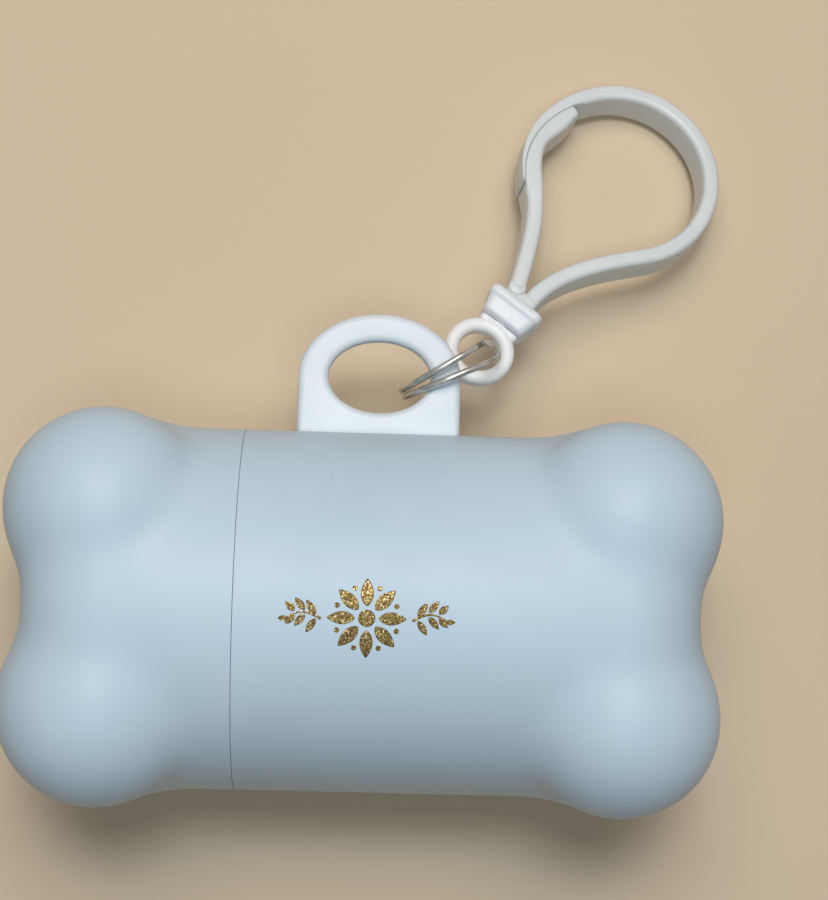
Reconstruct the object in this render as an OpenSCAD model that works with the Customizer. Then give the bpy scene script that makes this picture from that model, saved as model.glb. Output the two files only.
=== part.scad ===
// Bone-shaped dispenser for a roll of small bags, lying on its back.
// X runs along the bone (barrel end +X, screw cap -X), Y points to the hanging lug, Z is up.
// The origin is on the resting surface, under the middle of the bone.

/* [Bone] */
// Outside diameter of the straight middle
barrel_d = 43; // [40:0.5:46]
// Length of the rounded core, from the dip at one end to the dip at the other
core_l = 77.4; // [74:0.2:84]
// Rounding of the core's end edges
core_edge_r = 9.5; // [6:0.5:12]
// Distance between the two pairs of lobes, along the bone
lobe_pitch_x = 60.2; // [56:0.2:66]
// Distance between the two lobes of a pair
lobe_pitch_y = 22.9; // [20:0.1:25]
// Radius of a lobe
lobe_r = 11.4; // [10:0.1:13]
// Height through a lobe, from the resting surface to the top
lobe_h = 43.4; // [42:0.1:48]
// Softness of the blend between the core and its lobes
blend = 1; // [0.5:0.1:2]
// Wall of the shells over the lobes
lobe_wall = 2.6; // [1.8:0.1:3.5]
// Wall of the barrel
barrel_wall = 2.9; // [2:0.1:3.2]
// Distance of the seam between cap and barrel from the middle of the bone
seam_offset = 14.3; // [12:0.1:17]
// Gap at the closed seam
seam_gap = 0.15; // [0.1:0.05:0.4]

/* [Screw neck] */
// Length of the neck that the cap screws onto
neck_l = 10; // [8:0.5:11]
// Diameter of the neck at the root of its thread
neck_d = 37.8; // [37:0.1:38.4]
// Wall of the neck
neck_wall = 1.5; // [1.2:0.1:2]
// Length of the plain land that centres the cap
land_l = 1.5; // [1:0.1:3]
// Radial room for the thread between neck and cap
thread_room = 1; // [0.6:0.1:1.2]
// Radial clearance of the cap on the land
cap_clearance = 0.3; // [0.1:0.05:0.5]

/* [Bag slot] */
// Length of the slot that the bags are pulled through
slot_l = 34; // [26:1:38]
// Width of the slot
slot_w = 7; // [5:0.5:9]
// Distance of the slot's middle from the seam
slot_offset = 27.3; // [25:0.1:29]
// Depth of the chamfer round the slot
slot_chamfer = 0.8; // [0.4:0.1:1.2]

/* [Bag roll] */
// Diameter of the full roll
roll_d = 31; // [27:0.5:32]
// Length of the roll
roll_l = 60; // [56:0.5:61]
// Outside diameter of the paper core
paper_d = 18; // [15:0.5:20]
// Wall of the paper core
paper_wall = 1; // [0.6:0.1:1.4]
// Clearance of the bosses in the paper core
boss_clearance = 0.3; // [0.2:0.05:0.5]
// Length of a boss inside the paper core
boss_l = 5; // [4:0.5:8]
// Running gap between the bags and the paper core
bag_clearance = 0.05; // [0.03:0.01:0.1]
// Gap between the roll and the cap's floor
roll_end_gap = 0.4; // [0.3:0.1:0.8]

/* [Hanging lug] */
// Distance of the lug's middle from the middle of the bone
lug_x = 1.4; // [0:0.1:4]
// Width of the lug
lug_w = 19.7; // [17:0.1:22]
// Thickness of the lug
lug_t = 2.6; // [2.2:0.1:3]
// Height of the lug above the barrel
lug_h = 14.55; // [13:0.05:17]
// Rise of the lug's rounded top
lug_rise = 7.7; // [6:0.1:9]
// Width of the hole
lug_hole_w = 12.4; // [11:0.1:14]
// Height of the hole
lug_hole_h = 8.7; // [8:0.1:10]
// Rounding of the lug's edges
lug_edge_r = 1.15; // [0.6:0.05:1.25]
// Clearance of the lug in its slit
lug_clearance = 0.1; // [0.05:0.05:0.2]
// Least running clearance of the roll under the foot
foot_clearance = 0.5; // [0.3:0.1:1]
// Thickness of the foot inside the barrel
foot_t = 1.3; // [1:0.1:1.5]
// Reach of the foot past the lug's sides
foot_reach = 2.5; // [1.5:0.1:3.5]
// Width of the foot round the barrel
foot_w = 10; // [7:0.5:12]

/* [Split ring] */
// Outside diameter of the ring
ring_d = 13.4; // [13.2:0.1:14]
// Diameter of the wire
wire_d = 0.8; // [0.7:0.05:0.9]
// Spacing of the two turns where they lie together
turn_pitch = 0.9; // [0.88:0.01:1.1]
// Spacing of the two turns where they are sprung apart
turn_spread = 2.6; // [1.6:0.1:2.7]
// Half of the stretch in which the wire crosses from turn to turn, in degrees
crossing_angle = 30; // [24:1:34]
// Angle from the middle of the crossing to a cut end of the wire
cut_angle = 53.5; // [44:0.5:60]
// Heading of the ring's plane, seen from above
ring_heading = 28; // [24:1:30]
// Lean of the ring's plane towards the barrel
ring_lean = 4.2; // [3:0.1:5]
// Height from the ring's middle to the lug's middle
ring_drop = 3.2; // [3:0.05:3.4]
// Depth of the ring's swing axis below the lug's middle
ring_axis_drop = 0.9; // [0.6:0.1:1]
// Shift of the ring's middle from the lug's strip
ring_shift = 0.85; // [0.6:0.1:1]
// Shift of the ring's middle across its plane, away from the barrel
ring_side = 0.25; // [0.1:0.05:0.3]
// Height of the ring on the lug's strip, above the hole's middle
ring_height = 0.85; // [0.7:0.1:1]

/* [Swivel eye] */
// Outside diameter of the eye
eye_d = 8.9; // [8.6:0.1:9.2]
// Diameter of the eye's hole
eye_hole_d = 5.4; // [5.2:0.1:5.6]
// Thickness of the eye
eye_t = 2.5; // [2.3:0.1:2.7]
// Reach of the eye's middle from the ring's middle, along the ring
eye_reach = 4.75; // [4.5:0.05:4.9]
// Shift of the eye's middle to the left of the ring's plane
eye_side = 0.8; // [0.7:0.05:1]
// Drop of the eye's middle below the ring's middle
eye_drop = 3.9; // [3.7:0.05:4.1]
// Chamfer of the eye's edges
eye_edge = 0.65; // [0.4:0.05:0.8]
// Width of the shoulder that faces the collar
shoulder_w = 5.6; // [5:0.1:6]
// Thickness of that shoulder
shoulder_t = 2.2; // [2:0.1:2.4]
// Diameter of the swivel stem
stem_d = 2.2; // [1.9:0.1:2.4]
// Diameter of the stem's head
stem_head_d = 3.2; // [3:0.1:3.3]
// Thickness of the stem's head
stem_head_t = 0.8; // [0.7:0.1:0.9]
// Running clearance round the stem and its head
swivel_clearance = 0.1; // [0.05:0.01:0.15]

/* [Hook] */
// Heading of the hook, seen from above
hook_heading = 52.6; // [46:0.2:58]
// Slope of the hook down to the resting surface
hook_slope = 15.2; // [14:0.2:15.8]
// Roll of the hook about its own length
hook_roll = 3.9; // [2:0.1:6]
// Length of the collar
collar_l = 3.4; // [3.3:0.1:4.2]
// Width of the collar at the eye
collar_w_small = 6.1; // [5.6:0.1:6.4]
// Width of the collar below its flange
collar_w_large = 6.9; // [6.5:0.1:7.2]
// Depth of the collar at the eye
collar_depth_small = 4.6; // [4.4:0.1:4.8]
// Depth of the collar below its flange
collar_depth_large = 5.1; // [4.9:0.1:5.3]
// Width of the flange
flange_w = 7.6; // [7.3:0.1:8.2]
// Depth of the flange
flange_depth = 6.0; // [5.7:0.1:6.4]
// Thickness of the flange
flange_t = 1.1; // [0.9:0.1:1.3]
// Height of the slope under the flange
flange_rise = 0.3; // [0.2:0.1:0.5]
// Wall of the collar at the eye, which holds the stem's head
collar_wall = 0.9; // [0.8:0.05:1]
// Bore of the collar, which takes the hook's plug
collar_bore_d = 3.6; // [3.5:0.1:3.8]
// Clearance of the plug in the collar's bore
plug_clearance = 0.05; // [0.03:0.01:0.08]
// Length of the root between the collar and the strands
throat_l = 1.4; // [1.3:0.1:1.8]
// Spread of the two strands at the root
throat_spread = 2.4; // [2.3:0.05:2.8]
// Distance from the eye's middle to the middle of the loop
loop_reach = 31.5; // [30:0.1:32.5]
// Radius of the loop, at the middle of the strand
loop_r = 11.8; // [11:0.1:12.5]
// Width of the strand
strand_w = 2.1; // [1.9:0.05:2.2]
// Depth of the strand, across the loop
strand_depth = 5.3; // [4.6:0.1:5.6]
// Rounding of the strand's edges
strand_edge_r = 0.7; // [0.4:0.05:0.9]
// Angle on the loop at which its flanks begin, from the tip
flank_angle = 130.5; // [124:0.5:134]
// Angle between the gate's root and the hook's length
gate_flare = 19.8; // [18:0.2:24]
// Angle between the arch's root and the hook's length
arch_flare = 2.2; // [0:0.2:6]
// Angle on the loop at which the nose begins to thin
nose_angle = 60; // [56:1:66]
// Thickness of the nose's tip
nose_tip_w = 0.6; // [0.5:0.05:0.8]
// Angle on the loop at which the gate ends
gate_end_angle = 72; // [70:1:80]
// Width of nose and gate together, where they lie side by side
snout_w = 3.3; // [3:0.05:3.6]
// Reach of the nose back from the loop, as a share of the flank
nose_reach = 0.075; // [0.05:0.005:0.15]
// Step of the gate's tip into the loop, past the strand
gate_tip_step = 0.45; // [0.3:0.05:0.5]
// Gap between the gate and the nose
gate_gap = 0.12; // [0.1:0.02:0.2]
// Clearance round the gate's root
root_clearance = 0.08; // [0.05:0.01:0.12]

/* [Hidden] */

body_blue = [0.72, 0.80, 0.87];
lug_white = [0.88, 0.91, 0.93];
steel = [0.62, 0.62, 0.64];
milky = [0.80, 0.79, 0.78];
paper_brown = [0.66, 0.54, 0.40];
bag_black = [0.10, 0.10, 0.11];

around = 64;          // facets round a shell
meridian = 27;        // facets from the straight part to the end of a shell
ray_inset = 8;        // from a lobe's middle back to the start of the rays that find the surface
straight_margin = 6.5;  // from the lobes back to the end of the barrel's straight part
cap_first_inset = 0.5;  // from the cap's seam to the first ring of its surface
thread_run_out = 0.7; // how far the cap's thread runs past the neck
ledge_h = 3;          // height of the ledge that stops the roll
ledge_t = 1;          // thickness of that ledge in the barrel
thin = 0.01;          // thickness of a cross-section in a hull
seat_gap = 0.02;      // between the collar and the hook's root
root_inset = 0.1;     // of the root's faces from the strand's
least_flat = 0.05;    // flat left between two rounded edges of a strand
gate_pulls = [0.48, 0.355];   // fullness of the gate's flank at the root and at the loop
arch_pulls = [0.323, 0.334];  // the same for the arch's flank
share_angle = 12;     // angle in which the nose thins to its share of the width
step_lead = 0.22;     // where the gate begins to step down, before the nose's end
step_run = 0.16;      // length of each step of the gate
swell_run = 0.4;      // length in which the nose swells outwards
tip_run = 0.24;       // length of the gate's tip
halvings = 17;        // steps of the search for the surface
past = 1;             // how far a cut runs past a face
bury = 0.2;           // how far joined solids run into each other

barrel_r = barrel_d / 2;
axis_z = lobe_h / 2;
core_half = core_l / 2;
lobe_x = lobe_pitch_x / 2;
lobe_y = lobe_pitch_y / 2;
lobe_half_h = axis_z - lobe_r;
straight_x = lobe_x - lobe_r - straight_margin;
barrel_seam_x = -seam_offset;
cap_seam_x = barrel_seam_x - seam_gap;

neck_r = neck_d / 2;
neck_bore_r = neck_r - neck_wall;
neck_end_x = barrel_seam_x - neck_l;
cap_bore_r = neck_r + thread_room;
land_r = cap_bore_r - cap_clearance;
cap_bore_end_x = neck_end_x - thread_run_out;
chamber_r = barrel_r - barrel_wall;
end_wall_x = core_half - lobe_wall;       // inner face of both end walls
pocket_r = roll_d / 2 - ledge_h;          // recess behind the ledge
lobe_pocket_r = lobe_r - lobe_wall;

paper_r = paper_d / 2;
paper_bore_r = paper_r - paper_wall;
boss_r = paper_bore_r - boss_clearance;
roll_start_x = -roll_l / 2;
roll_end_x = roll_l / 2;
cap_floor_x = roll_start_x - roll_end_gap;
barrel_floor_x = roll_end_x + roll_end_gap + ledge_t;
slot_x = barrel_seam_x + slot_offset;

foot_seat_r = max(chamber_r, roll_d / 2 + foot_clearance + foot_t + lug_clearance);  // let into the wall under a thick roll
lug_foot_y = foot_seat_r - foot_t;
lug_centre_y = barrel_r + lug_h - lug_rise;
strip_x = lug_x + (lug_w + lug_hole_w) / 4;

wire_r = wire_d / 2;
ring_mid_r = ring_d / 2 - wire_r;
along_ring = [cos(ring_heading), sin(ring_heading), 0];
across_ring = [-sin(ring_heading), cos(ring_heading), 0];
ring_pivot = [strip_x, lug_centre_y + ring_height, axis_z - ring_axis_drop];
ring_centre = ring_pivot + ring_shift * along_ring + ring_side * across_ring - [0, 0, ring_drop - ring_axis_drop];
up_ring = cos(ring_lean) * [0, 0, 1] - sin(ring_lean) * across_ring;
through_ring = cos(ring_lean) * across_ring + sin(ring_lean) * [0, 0, 1];
eye_centre = ring_centre + eye_reach * along_ring + eye_side * across_ring - [0, 0, eye_drop];

eye_r = eye_d / 2;
eye_hole_r = eye_hole_d / 2;
collar_start = eye_r + swivel_clearance;
collar_end = collar_start + collar_l;
head_start = collar_start + collar_wall + swivel_clearance;
head_end = head_start + stem_head_t;
plug_start = head_end + 2 * swivel_clearance;

half_w = strand_w / 2;
root_depth = strand_depth - 2 * root_inset;
gate_root_r = half_w + root_inset;
root_run = throat_l * 3;                        // scale of the strand's straight run back into the root
throat = [collar_end + throat_l, throat_spread / 2];
flank_end = [loop_reach + loop_r * cos(flank_angle), loop_r * sin(flank_angle)];
flank_end_dir = [sin(flank_angle), -cos(flank_angle)];
function angle_to_v(t) = 2 - t / flank_angle;
nose_v = 1 - nose_reach;                        // where the nose ends
snout_start_v = angle_to_v(nose_angle);         // where nose and gate begin to share the width
snout_full_v = angle_to_v(nose_angle + share_angle);
gate_end_v = angle_to_v(gate_end_angle);

// ---- smooth bone surface: a rounded cylinder blended with an upright capsule in each lobe ----

function core_distance(p) =
    let (a = abs(p.x) - (core_half - core_edge_r), b = norm([p.y, p.z]) - (barrel_r - core_edge_r))
    min(max(a, b), 0) + norm([max(a, 0), max(b, 0)]) - core_edge_r;

function lobe_distance(p, side) =
    norm([abs(p.x) - lobe_x, p.y - side * lobe_y, max(abs(p.z) - lobe_half_h, 0)]) - lobe_r;

function blended(a, b, c) =
    let (m = min(a, b, c))
    m - blend * ln(exp((m - a) / blend) + exp((m - b) / blend) + exp((m - c) / blend));

function bone_distance(p) = blended(core_distance(p), lobe_distance(p, 1), lobe_distance(p, -1));

// distance from start, along dir, to the bone's surface
function reach(start, dir, low, high, steps) =
    steps == 0 ? (low + high) / 2
    : let (middle = (low + high) / 2)
      bone_distance(start + middle * dir) > 0
          ? reach(start, dir, low, middle, steps - 1)
          : reach(start, dir, middle, high, steps - 1);

function surface_point(start, dir) = start + reach(start, dir, 0, 60, halvings) * dir;

// One end of the bone, closed by a flat face at x = cut_x. side is 1 for the +X end.
module bone_end(side, cut_x, first_x) {
    ray_start = [lobe_x - ray_inset, 0, 0];
    first_angle = atan2(barrel_r, first_x - ray_start.x);
    flat_ring = [for (i = [0 : around - 1])
        surface_point([cut_x, 0, 0], [0, cos(360 * i / around), sin(360 * i / around)])];
    rings = [for (j = [0 : meridian - 1], i = [0 : around - 1])
        let (polar = first_angle * (1 - j / meridian), turn = 360 * i / around)
        surface_point(ray_start, [cos(polar), sin(polar) * cos(turn), sin(polar) * sin(turn)])];
    points = concat(flat_ring, rings, [surface_point(ray_start, [1, 0, 0])]);
    last = len(points) - 1;
    faces = concat(
        [[for (i = [0 : around - 1]) i]],
        [for (j = [0 : meridian - 1], i = [0 : around - 1], half = [0, 1])
            let (a = j * around + i, b = j * around + (i + 1) % around)
            half == 0 ? [a, a + around, b] : [b, a + around, b + around]],
        [for (i = [0 : around - 1])
            [meridian * around + i, last, meridian * around + (i + 1) % around]]);
    mirror([side < 0 ? 1 : 0, 0, 0]) polyhedron(points, faces);
}

module x_cylinder(r, from_x, to_x, fn = 96) {
    translate([from_x, 0, 0]) rotate([0, 90, 0]) cylinder(h = to_x - from_x, r = r, $fn = fn);
}

module capsule(r, half_h) {
    cylinder(h = 2 * half_h, r = r, center = true, $fn = 64);
    for (end = [-1, 1]) translate([0, 0, end * half_h]) sphere(r = r, $fn = 64);
}

// hollow of one end: two lobe pockets and the recess behind the roll's ledge
module end_hollow(side, floor_x) {
    for (lobe = [-1, 1])
        translate([side * lobe_x, lobe * lobe_y, 0]) capsule(lobe_pocket_r, lobe_half_h);
    low_x = side > 0 ? floor_x - past : -end_wall_x;
    high_x = side > 0 ? end_wall_x : floor_x + past;
    x_cylinder(pocket_r, low_x, high_x);
}

module slot_outline() {
    round_reach = (slot_l - slot_w) / 2;
    for (end = [-1, 1]) translate([end * round_reach, 0]) circle(d = slot_w, $fn = 48);
    square([2 * round_reach, slot_w], center = true);
}

module slot_cut() {
    translate([slot_x, 0, -barrel_r - past]) linear_extrude(barrel_r / 2) slot_outline();
    hull() for (end = [-1, 1])
        translate([slot_x + end * (slot_l - slot_w) / 2, 0, -barrel_r - past])
            cylinder(h = past + slot_chamfer, r1 = slot_w / 2 + slot_chamfer + past, r2 = slot_w / 2, $fn = 32);
}

module barrel_shell() {
    color(body_blue) translate([0, 0, axis_z]) {
        difference() {
            union() {
                bone_end(1, barrel_seam_x, straight_x);
                x_cylinder(land_r, barrel_seam_x - land_l, barrel_seam_x + past);
                x_cylinder(neck_r, neck_end_x, barrel_seam_x + past);
            }
            x_cylinder(neck_bore_r, neck_end_x - past, barrel_seam_x + past);
            x_cylinder(chamber_r, barrel_seam_x + barrel_wall, barrel_floor_x);
            translate([barrel_seam_x + past - bury / 2, 0, 0]) rotate([0, 90, 0])
                cylinder(h = barrel_wall - past + bury, r1 = neck_bore_r, r2 = chamber_r, $fn = 96);
            end_hollow(1, barrel_floor_x);
            translate([lug_x - lug_w / 2 - lug_clearance, 0, -lug_t / 2 - lug_clearance])
                cube([lug_w + 2 * lug_clearance, barrel_d, lug_t + 2 * lug_clearance]);
            slot_cut();
            if (foot_seat_r > chamber_r) foot_block(foot_seat_r, foot_seat_r, lug_clearance);
        }
        x_cylinder(boss_r, roll_end_x - boss_l, end_wall_x + bury);
    }
}

module cap_shell() {
    color(body_blue) translate([0, 0, axis_z]) {
        difference() {
            bone_end(-1, -cap_seam_x, -cap_seam_x + cap_first_inset);
            x_cylinder(cap_bore_r, cap_bore_end_x, cap_seam_x + past);
            x_cylinder(neck_bore_r, cap_floor_x, cap_bore_end_x + past);
            end_hollow(-1, cap_floor_x);
        }
        x_cylinder(boss_r, -end_wall_x - bury, roll_start_x + boss_l);
    }
}

// ---- lofted forms ----

// Solid through rings of points, all with the same count, each going round anticlockwise as seen from
// the next ring. loop joins the last ring to the first.
module loft(rings, loop = false) {
    n = len(rings[0]);
    count = len(rings);
    spans = loop ? count : count - 1;
    sides = [for (j = [0 : spans - 1], i = [0 : n - 1], half = [0, 1])
        let (a = j * n + i, b = j * n + (i + 1) % n,
             c = ((j + 1) % count) * n + i, d = ((j + 1) % count) * n + (i + 1) % n)
        half == 0 ? [a, c, b] : [b, c, d]];
    ends = loop ? [] : [[for (i = [0 : n - 1]) i], [for (i = [n - 1 : -1 : 0]) (count - 1) * n + i]];
    polyhedron([for (ring = rings, p = ring) p], concat(sides, ends));
}

// rounded rectangle in its own plane, from [low, -half_h] to [high, half_h]
function rounded_section(low, high, half_h, r, steps = 3) =
    let (corners = [[high - r, half_h - r, 0], [low + r, half_h - r, 90],
                    [low + r, -half_h + r, 180], [high - r, -half_h + r, 270]])
    [for (c = corners, k = [0 : steps]) let (a = c[2] + 90 * k / steps) [c[0] + r * cos(a), c[1] + r * sin(a)]];

function backwards(ring) = [for (i = [len(ring) - 1 : -1 : 0]) ring[i]];

// ---- hanging lug ----

function lug_outline() =
    let (a = lug_w / 2, foot = lug_foot_y - lug_centre_y, top_steps = 26, side_steps = 5, base_steps = 12)
    concat(
        [for (i = [0 : top_steps]) [a * cos(180 * i / top_steps), lug_rise * sin(180 * i / top_steps)]],
        [for (i = [1 : side_steps]) [-a, foot * i / side_steps]],
        [for (i = [1 : base_steps]) [-a + 2 * a * i / base_steps, foot]],
        [for (i = [1 : side_steps - 1]) [a, foot * (1 - i / side_steps)]]);

// the hole's point on the same side as an outline point
function lug_hole_point(p) =
    let (t = atan2(p.y / lug_rise, p.x / (lug_w / 2)))
    [lug_hole_w / 2 * cos(t), lug_hole_h / 2 * sin(t)];

module lug_loop() {
    rings = [for (p = lug_outline())
        let (inner = lug_hole_point(p), out = p - inner, dir = out / norm(out))
        [for (q = backwards(rounded_section(0, norm(out), lug_t / 2, lug_edge_r)))
            let (flat = inner + q.x * dir) [flat.x, flat.y, q.y]]];
    translate([lug_x, lug_centre_y, 0]) loft(rings, loop = true);
}

// curved block over the length and width of the lug's foot, grown by room on its ends and sides
module foot_block(outer_r, wall, room) {
    half_l = lug_w / 2 + foot_reach + room;
    half_w = foot_w / 2 + room;
    intersection() {
        difference() {
            x_cylinder(outer_r, lug_x - half_l, lug_x + half_l);
            if (wall < outer_r) x_cylinder(outer_r - wall, lug_x - half_l - past, lug_x + half_l + past);
        }
        translate([lug_x - half_l - past, 0, -half_w]) cube([2 * (half_l + past), barrel_r, 2 * half_w]);
    }
}

module hanging_lug() {
    color(lug_white) translate([0, 0, axis_z]) {
        lug_loop();
        foot_block(foot_seat_r - lug_clearance, foot_t, 0);
    }
}

// ---- split ring ----

function smooth_step(t) = let (u = min(max(t, 0), 1)) u * u * (3 - 2 * u);

// The wire runs twice round. It crosses from one turn to the other beside the hook, where the turns
// stand furthest apart, and its cut ends are clear of the crossing.
module split_ring() {
    last = 720 - cut_angle;
    stations = 96;
    wire_sides = 8;
    rings = [for (s = [0 : stations])
        let (t = cut_angle + (last - cut_angle) * s / stations,
             half_gap = (turn_pitch + (turn_spread - turn_pitch) * (1 + cos(t)) / 2) / 2,
             across = half_gap * (1 - 2 * smooth_step((t - 360 + crossing_angle) / (2 * crossing_angle))),
             outward = cos(t) * along_ring + sin(t) * up_ring)
        [for (k = [0 : wire_sides - 1])
            let (a = 360 * k / wire_sides)
            ring_centre + (ring_mid_r + wire_r * cos(a)) * outward + (across + wire_r * sin(a)) * through_ring]];
    color(steel) loft(rings);
}

// ---- swivel eye and hook, drawn along X from the eye's middle, with the loop in the XY plane ----

module at_hook() {
    translate(eye_centre) rotate([0, 0, hook_heading]) rotate([0, hook_slope, 0]) rotate([-hook_roll, 0, 0])
        children();
}

module swivel_eye() {
    color(milky) at_hook() {
        difference() {
            union() {
                rotate_extrude($fn = 64) polygon([
                    [eye_hole_r, -eye_t / 2 + eye_edge], [eye_hole_r + eye_edge, -eye_t / 2],
                    [eye_r - eye_edge, -eye_t / 2], [eye_r, -eye_t / 2 + eye_edge],
                    [eye_r, eye_t / 2 - eye_edge], [eye_r - eye_edge, eye_t / 2],
                    [eye_hole_r + eye_edge, eye_t / 2], [eye_hole_r, eye_t / 2 - eye_edge]]);
                translate([eye_hole_r, -shoulder_w / 2, -shoulder_t / 2])
                    cube([collar_start - swivel_clearance - eye_hole_r, shoulder_w, shoulder_t]);
            }
            cylinder(h = eye_t + past, r = eye_hole_r + eye_edge / 2, center = true, $fn = 64);
        }
        x_cylinder(stem_d / 2, eye_r - bury, head_start + bury, 48);
        x_cylinder(stem_head_d / 2, head_start, head_end, 48);
    }
}

// flat-sided block between two cross-sections, each given as [x, width, depth]
module tapered_block(a, b) {
    hull() for (s = [a, b])
        translate([s[0], -s[1] / 2, -s[2] / 2]) cube([thin, s[1], s[2]]);
}

module hook_collar() {
    body_end = collar_end - flange_t - flange_rise;
    color(lug_white) at_hook() difference() {
        union() {
            tapered_block([collar_start, collar_w_small, collar_depth_small],
                          [body_end, collar_w_large, collar_depth_large]);
            tapered_block([body_end, collar_w_large, collar_depth_large],
                          [collar_end - flange_t, flange_w, flange_depth]);
            translate([collar_end - flange_t, -flange_w / 2, -flange_depth / 2]) cube([flange_t, flange_w, flange_depth]);
        }
        x_cylinder(stem_d / 2 + swivel_clearance, collar_start - past, collar_end, 48);
        x_cylinder(collar_bore_d / 2, collar_start + collar_wall, collar_end + past, 48);
    }
}

function left_of(d) = [-d.y, d.x] / norm(d);

// One half of the teardrop runs from the throat (v = 0) along a flank to the loop (v = 1) and round it to
// the tip (v = 2). The other half is drawn the same way and turned over. Each result is [point, outward normal].
function half_frame(v, flare = gate_flare, throat_pull = gate_pulls[0], flank_pull = gate_pulls[1]) =
    let (dir = [cos(flare), sin(flare)], span = norm(flank_end - throat),
         c = [throat, throat + throat_pull * span * dir, flank_end - flank_pull * span * flank_end_dir, flank_end],
         w = 1 - v)
    v < 0 ? [throat + v * root_run * dir, left_of(dir)]
    : v < 1 ? [w * w * w * c[0] + 3 * w * w * v * c[1] + 3 * w * v * v * c[2] + v * v * v * c[3],
               left_of(w * w * (c[1] - c[0]) + 2 * w * v * (c[2] - c[1]) + v * v * (c[3] - c[2]))]
    : let (t = flank_angle * (2 - v)) [[loop_reach + loop_r * cos(t), loop_r * sin(t)], [cos(t), sin(t)]];

function arch_frame(v) =
    let (f = half_frame(v, arch_flare, arch_pulls[0], arch_pulls[1])) [[f[0].x, -f[0].y], [f[1].x, -f[1].y]];

// section of a strand between two offsets from the teardrop's line
function strand_ring(f, low, high) =
    [for (q = rounded_section(low, high, strand_depth / 2, min(strand_edge_r, (high - low) / 2 - least_flat), 2))
        let (p = f[0] + q.x * f[1]) [p.x, p.y, q.y]];

function nose_share(v) = smooth_step((snout_start_v - v) / (snout_start_v - snout_full_v));
function nose_taper(v) = smooth_step((snout_full_v - v) / (snout_full_v - nose_v));
function nose_thickness(v) = (snout_w - gate_gap) / 2 * (1 - nose_taper(v)) + nose_tip_w * nose_taper(v);
function nose_high(v) = half_w + (snout_w / 2 - half_w) * smooth_step((snout_start_v - v) / swell_run);
function nose_low(v) = -half_w * (1 - nose_share(v)) + (nose_high(v) - nose_thickness(v)) * nose_share(v);

// the gate steps down from the full strand just before it passes under the nose
function gate_under(v) = smooth_step((v - nose_v + step_lead) / step_run);
function gate_high(v) = half_w * (1 - gate_under(v)) + (nose_low(max(v, nose_v)) - gate_gap) * gate_under(v);
function gate_low(v) = -half_w - gate_tip_step * smooth_step((v - gate_end_v + tip_run) / step_run);

module hook_strand() {
    flank_steps = 10;
    loop_steps = 22;
    nose_steps = 26;
    start_v = -0.1;
    rings = concat(
        [for (i = [0 : flank_steps]) strand_ring(arch_frame(start_v + (1 - start_v) * i / flank_steps), -half_w, half_w)],
        [for (i = [1 : loop_steps]) strand_ring(arch_frame(1 + i / loop_steps), -half_w, half_w)],
        [for (i = [1 : nose_steps]) let (v = 2 - (2 - nose_v) * i / nose_steps)
            strand_ring(half_frame(v), nose_low(v), nose_high(v))]);
    loft([for (ring = rings) backwards(ring)]);
}

module hook_body() {
    root_half_w = throat.y + half_w;
    color(milky) at_hook() difference() {
        union() {
            x_cylinder(collar_bore_d / 2 - plug_clearance, plug_start, collar_end + throat_l / 2, 48);
            translate([collar_end + seat_gap, -root_half_w, -root_depth / 2])
                cube([throat_l, 2 * root_half_w, root_depth]);
            hook_strand();
        }
        translate([throat.x, throat.y, 0])
            cylinder(h = strand_depth + past, r = gate_root_r + root_clearance, center = true, $fn = 48);
    }
}

module hook_gate() {
    steps = 30;
    color(milky) at_hook() {
        loft([for (i = [0 : steps]) let (v = gate_end_v * i / steps)
            strand_ring(half_frame(v), gate_low(v), gate_high(v))]);
        translate([throat.x, throat.y, 0]) cylinder(h = root_depth, r = gate_root_r, center = true, $fn = 48);
    }
}

// ---- bag roll ----

module roll_core() {
    color(paper_brown) translate([0, 0, axis_z]) difference() {
        x_cylinder(paper_r, roll_start_x, roll_end_x);
        x_cylinder(paper_bore_r, roll_start_x - past, roll_end_x + past);
    }
}

module bag_roll() {
    edge = 0.6;                    // softness of the wound edges
    film_inset = 0.2;              // of the film's ends from the core's
    core_fit_r = paper_r + bag_clearance;
    color(bag_black) translate([roll_start_x, 0, axis_z]) rotate([0, 90, 0]) rotate_extrude($fn = 96) polygon([
        [core_fit_r, film_inset], [roll_d / 2 - edge, film_inset], [roll_d / 2, film_inset + edge],
        [roll_d / 2, roll_l - film_inset - edge], [roll_d / 2 - edge, roll_l - film_inset],
        [core_fit_r, roll_l - film_inset]]);
}

barrel_shell();
cap_shell();
hanging_lug();
split_ring();
swivel_eye();
hook_collar();
hook_body();
hook_gate();
roll_core();
bag_roll();
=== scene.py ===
"""Looks of the bone-shaped bag dispenser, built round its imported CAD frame."""
import bpy
import bmesh
import math
import random
import numpy as np
from mathutils import Matrix, Vector


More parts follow.
